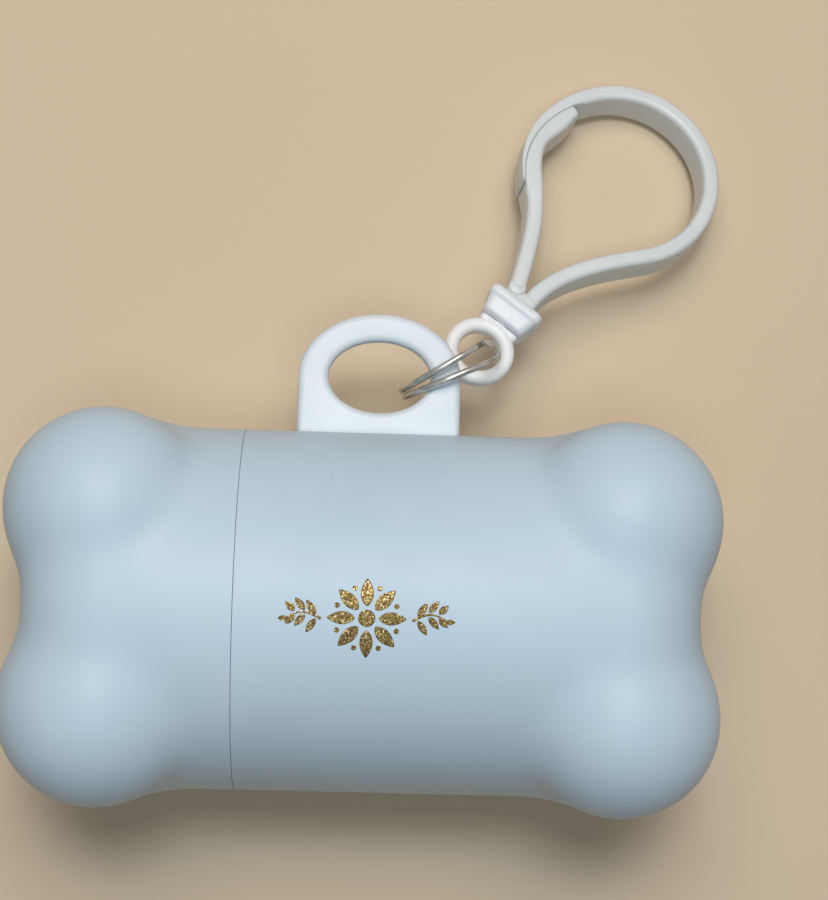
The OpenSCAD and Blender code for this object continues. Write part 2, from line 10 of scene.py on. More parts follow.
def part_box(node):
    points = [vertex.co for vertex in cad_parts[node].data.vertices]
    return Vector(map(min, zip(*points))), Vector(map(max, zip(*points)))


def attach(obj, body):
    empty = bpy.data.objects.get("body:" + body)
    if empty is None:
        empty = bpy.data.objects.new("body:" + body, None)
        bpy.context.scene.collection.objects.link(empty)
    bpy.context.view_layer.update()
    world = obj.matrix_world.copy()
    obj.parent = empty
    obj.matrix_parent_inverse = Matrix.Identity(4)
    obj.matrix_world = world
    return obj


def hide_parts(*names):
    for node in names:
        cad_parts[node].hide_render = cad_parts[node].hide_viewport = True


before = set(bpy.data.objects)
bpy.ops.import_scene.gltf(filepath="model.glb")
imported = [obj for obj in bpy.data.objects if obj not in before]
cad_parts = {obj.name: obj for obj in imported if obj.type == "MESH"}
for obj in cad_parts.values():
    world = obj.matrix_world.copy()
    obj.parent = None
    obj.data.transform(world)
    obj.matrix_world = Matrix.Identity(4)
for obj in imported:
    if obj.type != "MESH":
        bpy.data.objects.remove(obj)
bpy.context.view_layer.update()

# ---------------------------------------------------------------- sizes, in millimetres as in the CAD
MM = 0.001
BARREL_R = 21.5
CORE_HALF = 38.7
CORE_EDGE_R = 9.5
LOBE_X = 30.1
LOBE_Y = 11.45
LOBE_R = 11.4
AXIS_Z = 21.7
LOBE_HALF_H = AXIS_Z - LOBE_R
BLEND = 1.0
LOBE_WALL = 2.6
BARREL_WALL = 2.9
SEAM_X = -14.3
SEAM_GAP = 0.15
SEEN_GAP = 0.05
RAY_X = LOBE_X - 8
STRAIGHT_X = 12.2

NECK_R = 18.9
NECK_BORE_R = 17.4
NECK_END_X = SEAM_X - 10
LAND_L = 1.5
CAP_BORE_R = 19.9
LAND_R = 19.6
CHAMBER_R = BARREL_R - BARREL_WALL
THREAD_LEAD = 8.0
THREAD_STARTS = 2
THREAD_H = 0.7

ROLL_L = 60.0
ROLL_R = 15.5
CORE_IN_R = 8.0
CORE_OUT_R = 9.0
BOSS_R = 7.7
BOSS_L = 5.0
BOSS_EDGE = 0.6
BOSS_SUNK = 0.3
POCKET_R = 12.5
END_WALL_X = CORE_HALF - LOBE_WALL
BARREL_FLOOR_X = ROLL_L / 2 + 1.4
CAP_FLOOR_X = -ROLL_L / 2 - 0.4

SLOT_X = 13.0
SLOT_L = 34.0
SLOT_W = 7.0

LUG_X = 1.4
LUG_W = 19.7
LUG_T = 2.6
LUG_EDGE_R = 0.85
LUG_RISE = 7.7
LUG_CENTRE_Y = BARREL_R + 14.55 - LUG_RISE
LUG_HOLE_W = 12.4
LUG_HOLE_H = 8.7
LUG_CLEARANCE = 0.1
FOOT_T = 1.3
FOOT_REACH = 2.5
FOOT_W = 10.0


# ---------------------------------------------------------------- mesh helpers
def add_mesh(name, points, faces, z_shift=0.0, smooth_angle=35):
    """A mesh object from points in millimetres, smooth but for its sharp edges."""
    mesh = bpy.data.meshes.new(name)
    moved = (np.asarray(points, float) + (0, 0, z_shift)) * MM
    mesh.from_pydata([tuple(p) for p in moved], [], [tuple(f) for f in faces])
    mesh.validate()
    tidy_normals(mesh)
    obj = bpy.data.objects.new(name, mesh)
    bpy.context.scene.collection.objects.link(obj)
    smooth(obj, smooth_angle)
    return obj


def tidy_normals(mesh):
    work = bmesh.new()
    work.from_mesh(mesh)
    bmesh.ops.remove_doubles(work, verts=work.verts, dist=1e-7)
    bmesh.ops.recalc_face_normals(work, faces=work.faces)
    work.to_mesh(mesh)
    work.free()


def smooth(obj, angle):
    obj.data.shade_smooth()
    obj.data.set_sharp_from_angle(angle=math.radians(angle))


def grid_faces(rows, columns, wrap_rows=False, start=0):
    """Quads between rows of points, each row closed on itself."""
    count = rows if wrap_rows else rows - 1
    return [
        (start + j * columns + i, start + j * columns + (i + 1) % columns,
         start + ((j + 1) % rows) * columns + (i + 1) % columns, start + ((j + 1) % rows) * columns + i)
        for j in range(count) for i in range(columns)
    ]


def loft(name, rings, loop=False, z_shift=0.0, smooth_angle=35):
    """A closed solid through rings of points."""
    rows, columns = len(rings), len(rings[0])
    faces = grid_faces(rows, columns, loop)
    if not loop:
        faces.append(tuple(range(columns)))
        faces.append(tuple((rows - 1) * columns + i for i in range(columns)))
    return add_mesh(name, np.concatenate(rings), faces, z_shift, smooth_angle)


def lathe_x(name, profile, around=192, z_shift=AXIS_Z, smooth_angle=35):
    """A solid of revolution about the bone's axis. The profile is [x, radius] points, closed on itself."""
    turn = np.linspace(0, 2 * math.pi, around, endpoint=False)
    rings = [np.column_stack([np.full(around, x), r * np.cos(turn), r * np.sin(turn)]) for x, r in profile]
    if profile[0][1] > 0:
        return loft(name, rings, True, z_shift, smooth_angle)
    return loft(name, rings[1:-1], False, z_shift, smooth_angle)


def boolean(obj, tool, kind):
    """Cuts or joins a tool mesh exactly, and deletes the tool."""
    step = obj.modifiers.new("step", "BOOLEAN")
    step.operation = kind
    step.solver = "EXACT"
    step.object = tool
    done = bpy.data.meshes.new_from_object(obj.evaluated_get(bpy.context.evaluated_depsgraph_get()))
    obj.modifiers.clear()
    old, obj.data = obj.data, done
    bpy.data.meshes.remove(old)
    bpy.data.objects.remove(tool)
    return obj


def arc(cx, cy, r, start, end, steps):
    return [(cx + r * math.cos(math.radians(start + (end - start) * i / steps)),
             cy + r * math.sin(math.radians(start + (end - start) * i / steps))) for i in range(steps + 1)]


def rounded_section(low, high, half_h, r, steps=5, r_low=None):
    """Rounded rectangle; r_low is the rounding on its low side where that differs."""
    q = r if r_low is None else r_low
    corners = ((high - r, half_h - r, 0, r), (low + q, half_h - q, 90, q), (low + q, -half_h + q, 180, q),
               (high - r, -half_h + r, 270, r))
    return [p for x, y, a, size in corners for p in arc(x, y, size, a, a + 90, steps)]


def smooth_step(t):
    u = min(max(t, 0.0), 1.0)
    return u * u * (3 - 2 * u)


# ---------------------------------------------------------------- the bone's surface
def bone_distance(p):
    """Signed distance of a rounded cylinder blended with an upright capsule in each lobe."""
    x, y, z = np.abs(p[..., 0]), p[..., 1], p[..., 2]
    a = x - (CORE_HALF - CORE_EDGE_R)
    b = np.hypot(y, z) - (BARREL_R - CORE_EDGE_R)
    core = np.minimum(np.maximum(a, b), 0) + np.hypot(np.maximum(a, 0), np.maximum(b, 0)) - CORE_EDGE_R
    up = np.maximum(np.abs(z) - LOBE_HALF_H, 0)
    lobes = [np.sqrt((x - LOBE_X) ** 2 + (y - side * LOBE_Y) ** 2 + up ** 2) - LOBE_R for side in (1, -1)]
    least = np.minimum(core, np.minimum(*lobes))
    total = sum(np.exp((least - d) / BLEND) for d in (core, *lobes))
    return least - BLEND * np.log(total)


def on_surface(start, direction):
    """Points where rays leave the bone, found by halving."""
    low = np.zeros(direction.shape[:-1])
    high = np.full(direction.shape[:-1], 60.0)
    for _ in range(34):
        middle = (low + high) / 2
        outside = bone_distance(start + middle[..., None] * direction) > 0
        high = np.where(outside, middle, high)
        low = np.where(outside, low, middle)
    return start + ((low + high) / 2)[..., None] * direction


def bone_end(name, side, cut_x, edge=0.12, around=288, rows=150):
    """One end of the bone as a solid with a flat face at cut_x and a softened rim."""
    turn = np.linspace(0, 2 * math.pi, around, endpoint=False)
    spokes = np.column_stack([np.zeros(around), np.cos(turn), np.sin(turn)])
    rings = []
    for x, inset in arc(side * cut_x + edge, -edge, edge, 180, 90, 4):
        rim = on_surface(np.array([x, 0, 0]), spokes)
        rings.append(rim + spokes * inset)
    first_x = STRAIGHT_X if side > 0 else -cut_x + 0.6
    for x in np.linspace(side * cut_x + edge, first_x, 30 if side > 0 else 3)[1:-1]:
        rings.append(on_surface(np.array([x, 0, 0]), spokes))
    polar = np.linspace(math.atan2(BARREL_R, first_x - RAY_X), 0, rows + 1)[:-1]
    for angle in polar:
        directions = np.column_stack([np.full(around, math.cos(angle)),
                                      math.sin(angle) * np.cos(turn), math.sin(angle) * np.sin(turn)])
        rings.append(on_surface(np.array([RAY_X, 0, 0]), directions))
    pole = on_surface(np.array([RAY_X, 0, 0]), np.array([1.0, 0, 0]))
    points = np.concatenate(rings + [pole[None]])
    faces = grid_faces(len(rings), around)
    faces.append(tuple(range(around)))
    last = (len(rings) - 1) * around
    faces += [(last + i, last + (i + 1) % around, len(points) - 1) for i in range(around)]
    points[:, 0] *= side
    return add_mesh(name, points, faces, AXIS_Z)


def capsule(side, lobe):
    """Pocket cored out of a lobe."""
    r, around, steps = LOBE_R - LOBE_WALL, 64, 12
    turn = np.linspace(0, 2 * math.pi, around, endpoint=False)
    heights = [(r * math.cos(a), -LOBE_HALF_H + r * math.sin(a)) for a in np.linspace(-math.pi / 2 + 0.05, 0, steps)]
    heights += [(radius, -z) for radius, z in reversed(heights)]
    rings = [np.column_stack([radius * np.cos(turn) + side * LOBE_X, radius * np.sin(turn) + lobe * LOBE_Y,
                              np.full(around, z)]) for radius, z in heights]
    return loft("capsule", rings, False, AXIS_Z)


def stadium(length, width, grow, steps=24):
    reach, r = (length - width) / 2, width / 2 + grow
    return np.array(arc(reach, 0, r, -90, 90, steps) + arc(-reach, 0, r, 90, 270, steps))


def slot_tool():
    """Cutter for the bag slot, with a soft lip that follows the barrel's curve."""
    lip, rings = 0.9, []
    sections = [(lip + 0.3, -2.0), (lip + 0.02, -0.05)]
    sections += [(lip * (1 - math.sin(a)), lip * (1 - math.cos(a))) for a in np.linspace(0, math.pi / 2, 8)]
    sections += [(0, BARREL_WALL + 2)]
    for grow, depth in sections:
        flat = stadium(SLOT_L, SLOT_W, grow)
        face = np.sqrt(BARREL_R ** 2 - flat[:, 1] ** 2)
        rings.append(np.column_stack([flat[:, 0] + SLOT_X, flat[:, 1], -face + depth]))
    return loft("slot_tool", rings, False, AXIS_Z)


def box_tool(low, high):
    corners = [(low[0], low[1]), (high[0], low[1]), (high[0], high[1]), (low[0], high[1])]
    rings = [np.array([(x, y, z) for x, y in corners]) for z in (low[2], high[2])]
    return loft("box_tool", rings, False, AXIS_Z)


def thread(root_r, crest_r, first_x, last_x, start, base=1.9, crest=0.9, steps_a_turn=96):
    """One start of a thread: a ridge that fades in and out. Returns its rings of points."""
    turns = (last_x - first_x) / THREAD_LEAD
    count = int(turns * steps_a_turn)
    rings = []
    for k in range(count + 1):
        part = k / count
        x = first_x + (last_x - first_x) * part
        a = 2 * math.pi * (turns * part + start / THREAD_STARTS)
        height = smooth_step(part * turns * 9) * smooth_step((1 - part) * turns * 9)
        top = root_r + (crest_r - root_r) * height
        sunk = root_r - math.copysign(0.25, crest_r - root_r)
        profile = [(-base / 2, sunk), (-base / 2, root_r), (-crest / 2 - 0.12, top - (top - root_r) * 0.15),
                   (-crest / 2, top), (crest / 2, top), (crest / 2 + 0.12, top - (top - root_r) * 0.15),
                   (base / 2, root_r), (base / 2, sunk)]
        rings.append(np.array([(x + dx, r * math.cos(a), r * math.sin(a)) for dx, r in profile]))
    return rings


def join(objects, name):
    """Puts meshes into one object without cutting them."""
    work = bmesh.new()
    for obj in objects:
        work.from_mesh(obj.data)
    work.to_mesh(objects[0].data)
    work.free()
    for obj in objects[1:]:
        bpy.data.objects.remove(obj)
    objects[0].name = objects[0].data.name = name
    return objects[0]


def bone_normals(obj):
    """Exact normals on the bone's outer surface, so that its valleys shade without steps."""
    mesh = obj.data
    count = len(mesh.vertices)
    points = np.empty(count * 3)
    mesh.vertices.foreach_get("co", points)
    points = points.reshape(-1, 3) / MM - (0, 0, AXIS_Z)
    on_skin = np.abs(bone_distance(points)) < 2e-3
    step = 1e-3
    gradient = np.stack([bone_distance(points + step * axis) - bone_distance(points - step * axis)
                         for axis in np.eye(3)], axis=1)
    gradient /= np.linalg.norm(gradient, axis=1)[:, None] + 1e-12
    loop_vertex = np.empty(len(mesh.loops), int)
    mesh.loops.foreach_get("vertex_index", loop_vertex)
    normals = np.zeros((len(mesh.loops), 3))
    for face in mesh.polygons:
        index = loop_vertex[face.loop_start:face.loop_start + face.loop_total]
        if on_skin[index].all() and (gradient[index] @ np.array(face.normal) > 0.8).all():
            normals[face.loop_start:face.loop_start + face.loop_total] = gradient[index]
    mesh.normals_split_custom_set([tuple(n) for n in normals])


def clamp_to_box(obj, cad_node):
    """Keeps a skin inside its CAD solid's box, where its fine points pass the solid's flats."""
    low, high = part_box(cad_node)
    for v in obj.data.vertices:
        v.co = [min(max(c, a), b) for c, a, b in zip(v.co, low, high)]


def make_barrel():
    shell = bone_end("barrel_skin", 1, SEAM_X - SEAM_GAP + SEEN_GAP, 0.05)
    neck = lathe_x("neck", [(NECK_END_X, 0), (NECK_END_X, NECK_R - 0.35), (NECK_END_X + 0.35, NECK_R),
                            (SEAM_X - LAND_L - 0.35, NECK_R), (SEAM_X - LAND_L, LAND_R - 0.25),
                            (SEAM_X - LAND_L + 0.25, LAND_R), (SEAM_X + 1, LAND_R), (SEAM_X + 1, 0)], 128)
    boolean(shell, neck, "UNION")
    hollow = lathe_x("hollow", [(NECK_END_X - 1, 0), (NECK_END_X - 1, NECK_BORE_R + 0.3),
                                (NECK_END_X, NECK_BORE_R + 0.3), (NECK_END_X + 0.5, NECK_BORE_R),
                                (SEAM_X + 1, NECK_BORE_R),
                                (SEAM_X + BARREL_WALL, CHAMBER_R), (BARREL_FLOOR_X - 0.6, CHAMBER_R),
                                (BARREL_FLOOR_X, CHAMBER_R - 0.6), (BARREL_FLOOR_X, POCKET_R),
                                (END_WALL_X, POCKET_R), (END_WALL_X, 0)], 128)
    boolean(shell, hollow, "DIFFERENCE")
    for lobe in (1, -1):
        boolean(shell, capsule(1, lobe), "DIFFERENCE")
    half_w, half_t = LUG_W / 2 + LUG_CLEARANCE, LUG_T / 2 + LUG_CLEARANCE
    boolean(shell, box_tool((LUG_X - half_w, 5, -half_t), (LUG_X + half_w, 25, half_t)), "DIFFERENCE")
    boolean(shell, slot_tool(), "DIFFERENCE")
    boss_x, boss_root = ROLL_L / 2 - BOSS_L, END_WALL_X + BOSS_SUNK
    boss = lathe_x("boss", [(boss_x, 0), (boss_x, BOSS_R - BOSS_EDGE), (boss_x + BOSS_EDGE, BOSS_R),
                            (boss_root, BOSS_R), (boss_root, 0)], 96)
    ridges = [loft("ridge", thread(NECK_R, NECK_R + THREAD_H, NECK_END_X + 1.0, SEAM_X - LAND_L - 1.0, k),
                   False, AXIS_Z) for k in range(THREAD_STARTS)]
    return join([shell, boss, *ridges], "barrel_skin")


def make_cap():
    shell = bone_end("cap_skin", -1, SEAM_X - SEAM_GAP, 0.05)
    edge_x, bore_end = SEAM_X - SEAM_GAP, NECK_END_X - 0.7
    hollow = lathe_x("hollow", [(edge_x + 1, 0), (edge_x + 1, CAP_BORE_R + 0.2), (edge_x, CAP_BORE_R + 0.2),
                                (edge_x - 0.3, CAP_BORE_R), (bore_end, CAP_BORE_R), (bore_end, NECK_BORE_R),
                                (CAP_FLOOR_X + 0.6, NECK_BORE_R), (CAP_FLOOR_X, NECK_BORE_R - 0.6),
                                (CAP_FLOOR_X, POCKET_R), (-END_WALL_X, POCKET_R), (-END_WALL_X, 0)], 128)
    boolean(shell, hollow, "DIFFERENCE")
    for lobe in (1, -1):
        boolean(shell, capsule(-1, lobe), "DIFFERENCE")
    boss_x, boss_root = -ROLL_L / 2 + BOSS_L, -END_WALL_X - BOSS_SUNK
    boss = lathe_x("boss", [(boss_root, 0), (boss_root, BOSS_R), (boss_x - BOSS_EDGE, BOSS_R),
                            (boss_x, BOSS_R - BOSS_EDGE), (boss_x, 0)], 96)
    ridges = [loft("ridge", thread(CAP_BORE_R, CAP_BORE_R - THREAD_H, bore_end + 1.0, SEAM_X - 2.6, k + 0.5),
                   False, AXIS_Z) for k in range(THREAD_STARTS)]
    return join([shell, boss, *ridges], "cap_skin")


# ---------------------------------------------------------------- hanging lug
def make_lug():
    a, foot = LUG_W / 2, CHAMBER_R - FOOT_T - LUG_CENTRE_Y
    outline = [(a * math.cos(t), LUG_RISE * math.sin(t)) for t in np.linspace(0, math.pi, 97)]
    outline += [(-a, foot * k / 16) for k in range(1, 17)]
    outline += [(-a + 2 * a * k / 40, foot) for k in range(1, 41)]
    outline += [(a, foot * (1 - k / 16)) for k in range(1, 16)]
    rings = []
    for x, y in outline:
        t = math.atan2(y / LUG_RISE, x / a)
        inner = np.array([LUG_HOLE_W / 2 * math.cos(t), LUG_HOLE_H / 2 * math.sin(t)])
        out = np.array([x, y]) - inner
        length = np.linalg.norm(out)
        section = rounded_section(0, length, LUG_T / 2, LUG_EDGE_R, 7)
        rings.append(np.array([(inner[0] + u * out[0] / length + LUG_X,
                                inner[1] + u * out[1] / length + LUG_CENTRE_Y, h) for u, h in section]))
    loop = loft("lug_skin", rings, True, AXIS_Z, 50)
    half_l, outer_r = LUG_W / 2 + FOOT_REACH, CHAMBER_R - LUG_CLEARANCE
    spread = math.asin(FOOT_W / 2 / outer_r)
    foot_rings = []
    for x in np.linspace(LUG_X - half_l, LUG_X + half_l, 12):
        rows = [(r, t) for r, ts in ((outer_r, np.linspace(-spread, spread, 17)),
                                     (outer_r - FOOT_T, np.linspace(spread, -spread, 17))) for t in ts]
        foot_rings.append(np.array([(x, r * math.cos(t), r * math.sin(t)) for r, t in rows]))
    return join([loop, loft("foot", foot_rings, False, AXIS_Z)], "lug_skin")


# ---------------------------------------------------------------- split ring
RING_MID_R, WIRE_R, TURN_PITCH, TURN_SPREAD, CROSSING, CUT_ANGLE = 6.3, 0.4, 0.9, 2.6, 30, 53.5
RING_HEADING, RING_LEAN, RING_DROP, RING_AXIS_DROP = 28, 4.2, 3.2, 0.9
RING_SHIFT, RING_SIDE, RING_HEIGHT = 0.85, 0.25, 0.85
UP = np.array([0.0, 0, 1])
ALONG = np.array([math.cos(math.radians(RING_HEADING)), math.sin(math.radians(RING_HEADING)), 0])
ACROSS = np.array([-ALONG[1], ALONG[0], 0])
RING_UP = math.cos(math.radians(RING_LEAN)) * UP - math.sin(math.radians(RING_LEAN)) * ACROSS
THROUGH = math.cos(math.radians(RING_LEAN)) * ACROSS + math.sin(math.radians(RING_LEAN)) * UP
RING_PIVOT = np.array([LUG_X + (LUG_W + LUG_HOLE_W) / 4, LUG_CENTRE_Y + RING_HEIGHT, AXIS_Z - RING_AXIS_DROP])
RING_CENTRE = RING_PIVOT + RING_SHIFT * ALONG + RING_SIDE * ACROSS - (RING_DROP - RING_AXIS_DROP) * UP
EYE_REACH, EYE_SIDE, EYE_DROP = 4.75, 0.8, 3.9
EYE_CENTRE = RING_CENTRE + EYE_REACH * ALONG + EYE_SIDE * ACROSS - EYE_DROP * UP


def make_ring():
    stations, sides = 360, 20
    turn = np.linspace(0, 2 * math.pi, sides, endpoint=False)
    rings = []
    for s in range(stations + 1):
        t = CUT_ANGLE + (720 - 2 * CUT_ANGLE) * s / stations
        around = math.radians(t)
        half_gap = (TURN_PITCH + (TURN_SPREAD - TURN_PITCH) * (1 + math.cos(around)) / 2) / 2
        shift = half_gap * (1 - 2 * smooth_step((t - 360 + CROSSING) / (2 * CROSSING)))
        outward = math.cos(around) * ALONG + math.sin(around) * RING_UP
        r = WIRE_R - (0.1 if s in (0, stations) else 0)
        rings.append(RING_CENTRE + (RING_MID_R + r * np.cos(turn))[:, None] * outward
                     + (shift + r * np.sin(turn))[:, None] * THROUGH)
    return loft("ring_wire", rings, False, 0, 50)


# ---------------------------------------------------------------- eye and hook, along X from the eye
HOOK_HEADING, HOOK_SLOPE, HOOK_ROLL = 52.6, 15.2, 3.9
HOOK_TURN = (Matrix.Rotation(math.radians(HOOK_HEADING), 3, "Z") @ Matrix.Rotation(math.radians(HOOK_SLOPE), 3, "Y")
             @ Matrix.Rotation(math.radians(-HOOK_ROLL), 3, "X"))
EYE_R, EYE_HOLE_R, EYE_T, EYE_EDGE_R, STEM_R, SHOULDER_W, SHOULDER_T = 4.45, 2.7, 2.5, 0.84, 1.1, 5.6, 2.2
COLLAR_L, COLLAR_WALL, FLANGE_T, FLANGE_RISE, BORE_R, SWIVEL_GAP = 3.4, 0.9, 1.1, 0.3, 1.8, 0.1
HEAD_T, HEAD_R = 0.8, 1.6
COLLAR_START = EYE_R + SWIVEL_GAP
COLLAR_END = COLLAR_START + COLLAR_L
HEAD_START = COLLAR_START + COLLAR_WALL + SWIVEL_GAP
HEAD_END = HEAD_START + HEAD_T
THROAT_L, THROAT_Y, ROOT_L, ROOT_RUN = 1.4, 1.2, 1.42, 4.2
LOOP_REACH, LOOP_R, STRAND_W, STRAND_DEPTH, STRAND_EDGE_R = 31.5, 11.8, 2.1, 5.3, 0.7
FLANK_ANGLE, NOSE_ANGLE, GATE_END_ANGLE = 130.5, 60, 72
SNOUT_W, NOSE_REACH, NOSE_TIP_W, GATE_TIP_STEP, GATE_GAP = 3.3, 0.075, 0.32, 1.2, 0.04
SWELL_RUN, STEP_RUN, TIP_RUN, PARTING_EDGE_R = 0.4, 0.16, 0.31, 0.18
HALF_W = STRAND_W / 2
ROOT_R = HALF_W + 0.1


def at_hook(obj):
    obj.data.transform(Matrix.Translation(Vector(EYE_CENTRE) * MM) @ HOOK_TURN.to_4x4())
    return obj


THROAT = np.array([COLLAR_END + THROAT_L, THROAT_Y])
FLANK_TURN = math.radians(FLANK_ANGLE)
FLANK_END = np.array([LOOP_REACH + LOOP_R * math.cos(FLANK_TURN), LOOP_R * math.sin(FLANK_TURN)])
FLANK_END_DIR = np.array([math.sin(FLANK_TURN), -math.cos(FLANK_TURN)])
SPAN = np.linalg.norm(FLANK_END - THROAT)


def left_of(d):
    return np.array([-d[1], d[0]]) / np.linalg.norm(d)


def half_frame(v, flare=19.8, throat_pull=0.48, flank_pull=0.355):
    """Point and outward normal on the gate's half of the teardrop.

    It runs from the throat (0) along a curve to the loop's arc (1) and round that to the tip (2). A negative v
    goes straight back into the root.
    """
    way = np.array([math.cos(math.radians(flare)), math.sin(math.radians(flare))])
    if v < 0:
        return THROAT + v * ROOT_RUN * way, left_of(way)
    if v < 1:
        w = 1 - v
        c = (THROAT, THROAT + throat_pull * SPAN * way, FLANK_END - flank_pull * SPAN * FLANK_END_DIR, FLANK_END)
        return (w ** 3 * c[0] + 3 * w * w * v * c[1] + 3 * w * v * v * c[2] + v ** 3 * c[3],
                left_of(w * w * (c[1] - c[0]) + 2 * w * v * (c[2] - c[1]) + v * v * (c[3] - c[2])))
    t = math.radians(FLANK_ANGLE * (2 - v))
    out = np.array([math.cos(t), math.sin(t)])
    return np.array([LOOP_REACH, 0]) + LOOP_R * out, out


def arch_frame(v):
    """The same on the arch's half, which leaves the throat at another angle."""
    point, out = half_frame(v, 2.2, 0.323, 0.334)
    flip = np.array([1, -1])
    return point * flip, out * flip


def strand_ring(f, low, high, tight_low=0.0, tight_high=0.0):
    """Section of a strand; a tight side (1) has the small edges of the parting between nose and gate."""
    r = min(STRAND_EDGE_R, (high - low) / 2 - 0.05)
    r_low, r_high = (r + (min(PARTING_EDGE_R, r) - r) * tight for tight in (tight_low, tight_high))
    return np.array([(*(f[0] + u * f[1]), h)
                     for u, h in rounded_section(low, high, STRAND_DEPTH / 2, r_high, 5, r_low)])


NOSE_V = 1 - NOSE_REACH
SNOUT_START_V = 2 - NOSE_ANGLE / FLANK_ANGLE
SNOUT_FULL_V = 2 - (NOSE_ANGLE + 12) / FLANK_ANGLE
GATE_SLIM_V = 0.22
GATE_END_V = 2 - GATE_END_ANGLE / FLANK_ANGLE


def nose_share(v):
    """0 where the arch is whole, 1 where the gate lies inside the nose."""
    return smooth_step((SNOUT_START_V - v) / (SNOUT_START_V - SNOUT_FULL_V))


def nose_taper(v):
    """0 where the nose is half of the snout, 1 at its thin end."""
    return smooth_step((SNOUT_FULL_V - v) / (SNOUT_FULL_V - NOSE_V))


def nose_high(v):
    return HALF_W + (SNOUT_W / 2 - HALF_W) * smooth_step((SNOUT_START_V - v) / SWELL_RUN)


def nose_low(v):
    thickness = (SNOUT_W - GATE_GAP) / 2 * (1 - nose_taper(v)) + NOSE_TIP_W * nose_taper(v)
    return -HALF_W * (1 - nose_share(v)) + (nose_high(v) - thickness) * nose_share(v)


def gate_high(v):
    under = smooth_step((v - NOSE_V + GATE_SLIM_V) / STEP_RUN)
    return HALF_W * (1 - under) + (nose_low(max(v, NOSE_V)) - GATE_GAP) * under


def gate_low(v):
    """The gate's inner side, with the thicker end that a finger presses on."""
    return -HALF_W - GATE_TIP_STEP * (smooth_step((v - GATE_END_V + TIP_RUN) / (1.2 * STEP_RUN))
                                      - 0.2 * smooth_step((v - GATE_END_V + 0.09) / 0.09))


def soft_ends(rings, ends, size=0.25, steps=4):
    """Rounds the first or last ring of a strand by shrinking copies of it."""
    done = list(rings)
    for end in ends:
        tip, before = (done[0], done[1]) if end == 0 else (done[-1], done[-2])
        middle = tip.mean(axis=0)
        way = middle - before.mean(axis=0)
        way /= np.linalg.norm(way)
        extent = np.linalg.norm(tip - middle, axis=1).max()
        extra = []
        for k in range(1, steps + 1):
            a = math.pi / 2 * k / steps
            shrink = 1 - size * (1 - math.cos(a)) / extent * 2.2
            extra.append(middle + (tip - middle) * shrink - way * size * (1 - math.sin(a)))
        pulled = [tip - way * size, *extra]
        done = (list(reversed(pulled)) + done[1:]) if end == 0 else (done[:-1] + pulled)
    return done


def block(name, stations, corner):
    """Rounded bar along X through stations (x, half width, half depth)."""
    rings = [np.array([(x, y, z) for z, y in rounded_section(-h, h, w, min(corner, w - 0.1, h - 0.1), 6)])
             for x, w, h in stations]
    return loft(name, rings, False, 0, 50)


def peg(r, top, bevels):
    """Upright peg at the gate's root, its radius cut back by each bevel (height from the end, cut)."""
    turn = np.linspace(0, 2 * math.pi, 64, endpoint=False)
    levels = [(-top + h, cut) for h, cut in bevels] + [(top - h, cut) for h, cut in reversed(bevels)]
    return loft("peg", [np.column_stack([THROAT[0] + (r - cut) * np.cos(turn), THROAT[1] + (r - cut) * np.sin(turn),
                                         np.full(64, z)]) for z, cut in levels], False, 0)


def make_hook_body():
    rings = [strand_ring(arch_frame(v), -HALF_W, HALF_W) for v in np.linspace(-0.1, 1, 40)]
    rings += [strand_ring(arch_frame(v), -HALF_W, HALF_W) for v in np.linspace(1, 2, 72)[1:]]
    rings += [strand_ring(half_frame(v), nose_low(v), nose_high(v), nose_share(v))
              for v in np.linspace(2, NOSE_V, 84)[1:]]
    strand = loft("hook_body_skin", soft_ends(rings, [1]), False, 0, 50)
    half_y, half_z = THROAT[1] + HALF_W, STRAND_DEPTH / 2 - 0.1
    start, end = COLLAR_END + 0.02, COLLAR_END + ROOT_L
    root = block("root", [(start, half_y, half_z), (start + 0.6, half_y, half_z), (end - 0.4, half_y, half_z),
                          (end - 0.12, half_y - 0.1, half_z - 0.1), (end, half_y - 0.35, half_z - 0.35)], 0.7)
    boolean(strand, root, "UNION")
    plug = lathe_x("plug", [(HEAD_END + 0.2, 0), (HEAD_END + 0.2, BORE_R - 0.15), (HEAD_END + 0.3, BORE_R - 0.05),
                            (COLLAR_END + 0.5, BORE_R - 0.05), (COLLAR_END + 0.5, 0)], 48, 0)
    boolean(strand, plug, "UNION")
    boolean(strand, peg(ROOT_R + 0.03, 3.0, [(0, 0)]), "DIFFERENCE")
    smooth(strand, 50)
    return at_hook(strand)


def make_hook_gate():
    rings = [strand_ring(half_frame(v), gate_low(v), gate_high(v), 0, smooth_step((v - NOSE_V + 0.1) / 0.1))
             for v in np.linspace(0, GATE_END_V, 110)]
    gate = loft("hook_gate_skin", soft_ends(rings, [1]), False, 0, 50)
    boolean(gate, peg(ROOT_R, STRAND_DEPTH / 2 - 0.1, [(0, 0.3), (0.1, 0.08), (0.3, 0)]), "UNION")
    smooth(gate, 50)
    return at_hook(gate)


